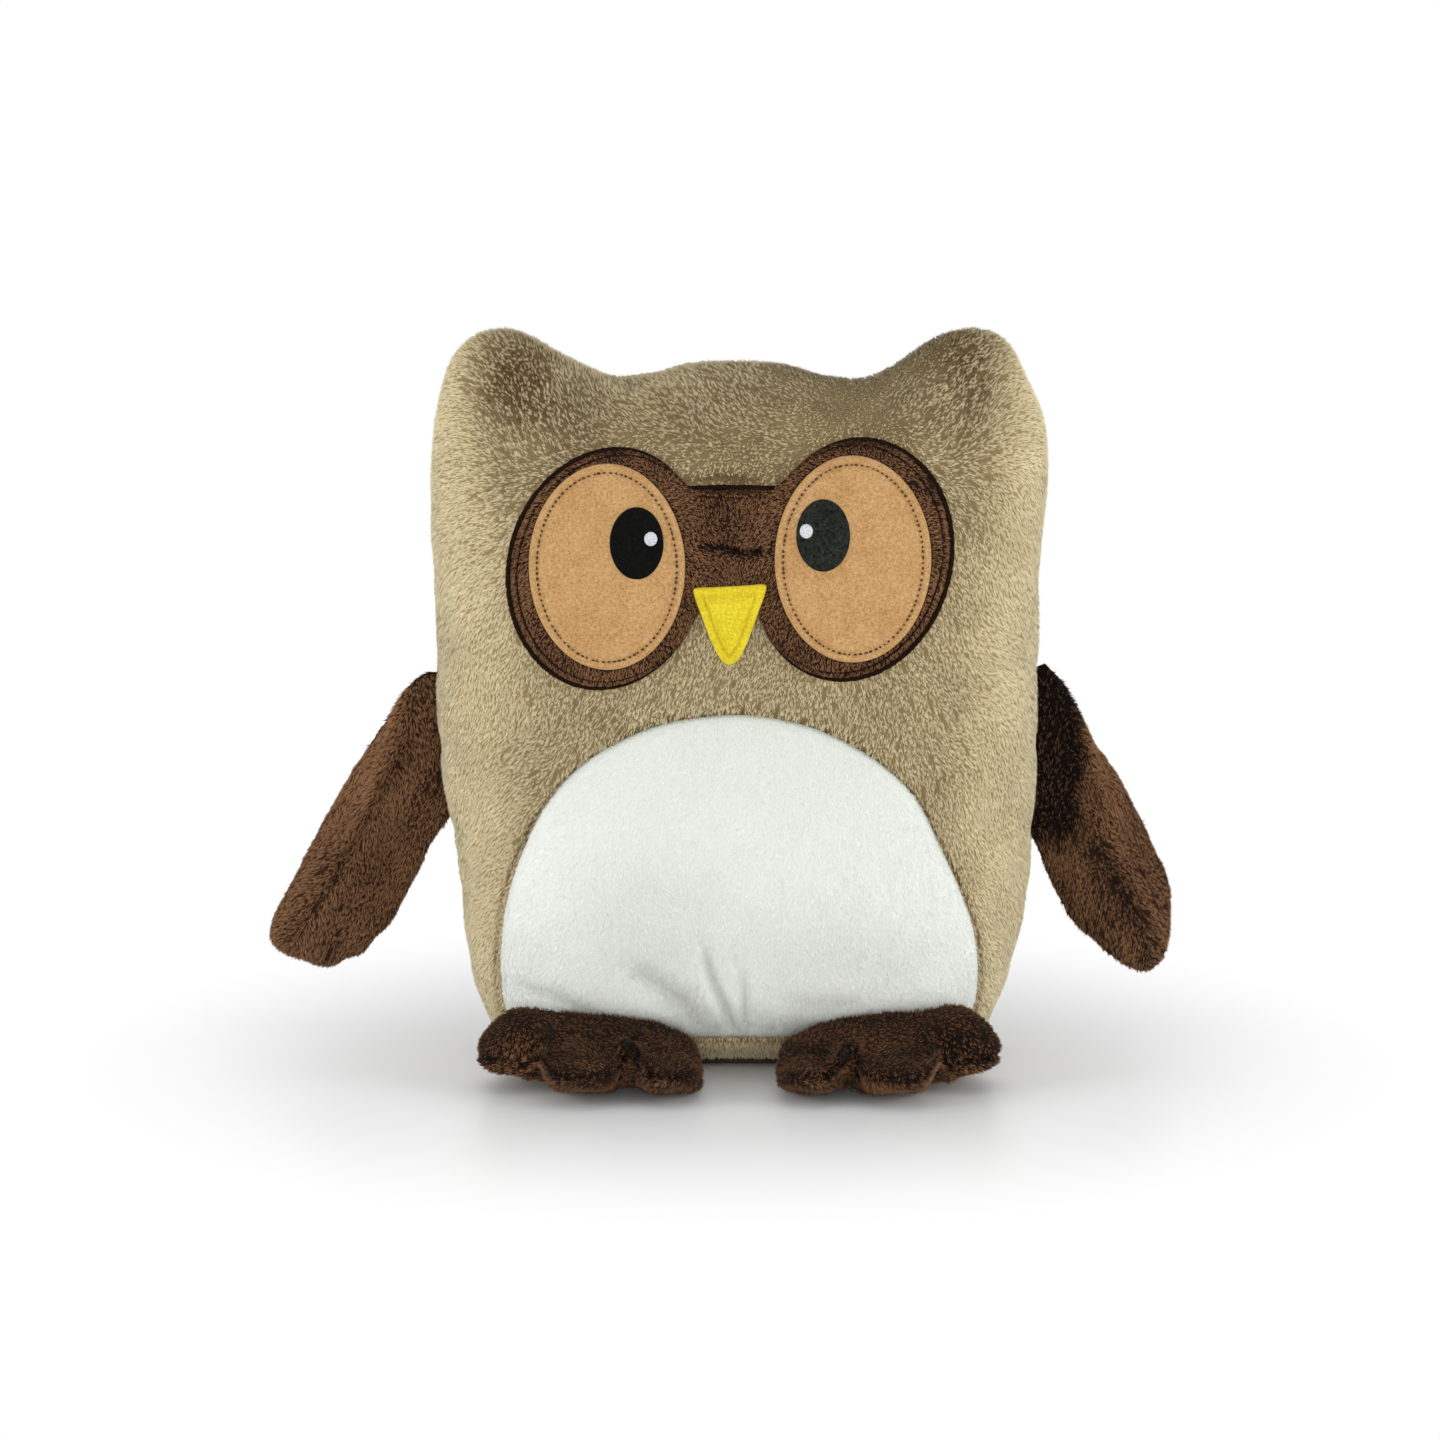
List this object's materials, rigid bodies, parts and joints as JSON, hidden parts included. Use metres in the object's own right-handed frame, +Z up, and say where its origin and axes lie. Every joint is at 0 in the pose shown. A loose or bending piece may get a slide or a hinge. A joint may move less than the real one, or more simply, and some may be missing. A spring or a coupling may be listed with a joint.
{
  "type": "plush owl",
  "caption": "Standing plush owl with a stuffed pillow body, eared top, padded wings hinged at the side seams and lobed feet hinged at the base.",
  "frame": {"origin": "centre of the flat base, on the floor", "axes": "+Z up, -Y the way the owl faces, +X to the right as seen from the front"},
  "size_m": [0.305, 0.1253, 0.2478],
  "materials": {
    "beige_plush": "short combed plush pile",
    "white_plush": "short plush pile",
    "dark_base_cloth": "plain woven",
    "filling": "loose polyester fibre",
    "granule_bag": "cloth bag of plastic granules",
    "dark_brown_plush": "short plush pile",
    "edging_thread": "satin stitch",
    "tan_felt": "matte felt",
    "black_felt": "matte felt",
    "white_thread": "satin stitch",
    "yellow_felt": "matte felt",
    "brown_plush": "short plush pile",
    "chocolate_plush": "short plush pile"
  },
  "bodies": {
    "body": {"front_panel": "beige_plush", "back_panel": "beige_plush", "belly_panel": "white_plush", "base_panel": "dark_base_cloth", "body_stuffing": "filling", "pellet_bag": "granule_bag", "eye_mask": "dark_brown_plush", "mask_edging": "edging_thread", "beak": "yellow_felt", "left_eye": "tan_felt", "left_pupil": "black_felt", "left_highlight": "white_thread", "right_eye": "tan_felt", "right_pupil": "black_felt", "right_highlight": "white_thread"},
    "left_wing": {"left_wing_front": "brown_plush", "left_wing_back": "brown_plush", "left_wing_stuffing": "filling"},
    "left_foot": {"left_foot_upper": "chocolate_plush", "left_foot_sole": "chocolate_plush", "left_foot_stuffing": "filling"},
    "right_wing": {"right_wing_front": "brown_plush", "right_wing_back": "brown_plush", "right_wing_stuffing": "filling"},
    "right_foot": {"right_foot_upper": "chocolate_plush", "right_foot_sole": "chocolate_plush", "right_foot_stuffing": "filling"}
  },
  "joints": [
    {"name": "left_wing_swing", "type": "hinge", "parent": "body", "child": "left_wing", "pos_m": [-0.10423, 0, 0.10888], "axis": [-0.0521, 0, 0.9986], "range_deg": [-75, 75], "stiffness_Nm_per_rad": 0.004},
    {"name": "right_wing_swing", "type": "hinge", "parent": "body", "child": "right_wing", "pos_m": [0.10423, 0, 0.10888], "axis": [-0.0521, 0, -0.9986], "range_deg": [-75, 75], "stiffness_Nm_per_rad": 0.004},
    {"name": "left_foot_fold", "type": "hinge", "parent": "body", "child": "left_foot", "pos_m": [-0.04925, -0.0301, 0.0108], "axis": [-1, 0, 0], "range_deg": [-15, 25], "stiffness_Nm_per_rad": 0.02},
    {"name": "right_foot_fold", "type": "hinge", "parent": "body", "child": "right_foot", "pos_m": [0.04925, -0.0301, 0.0108], "axis": [-1, 0, 0], "range_deg": [-15, 25], "stiffness_Nm_per_rad": 0.02}
  ]
}
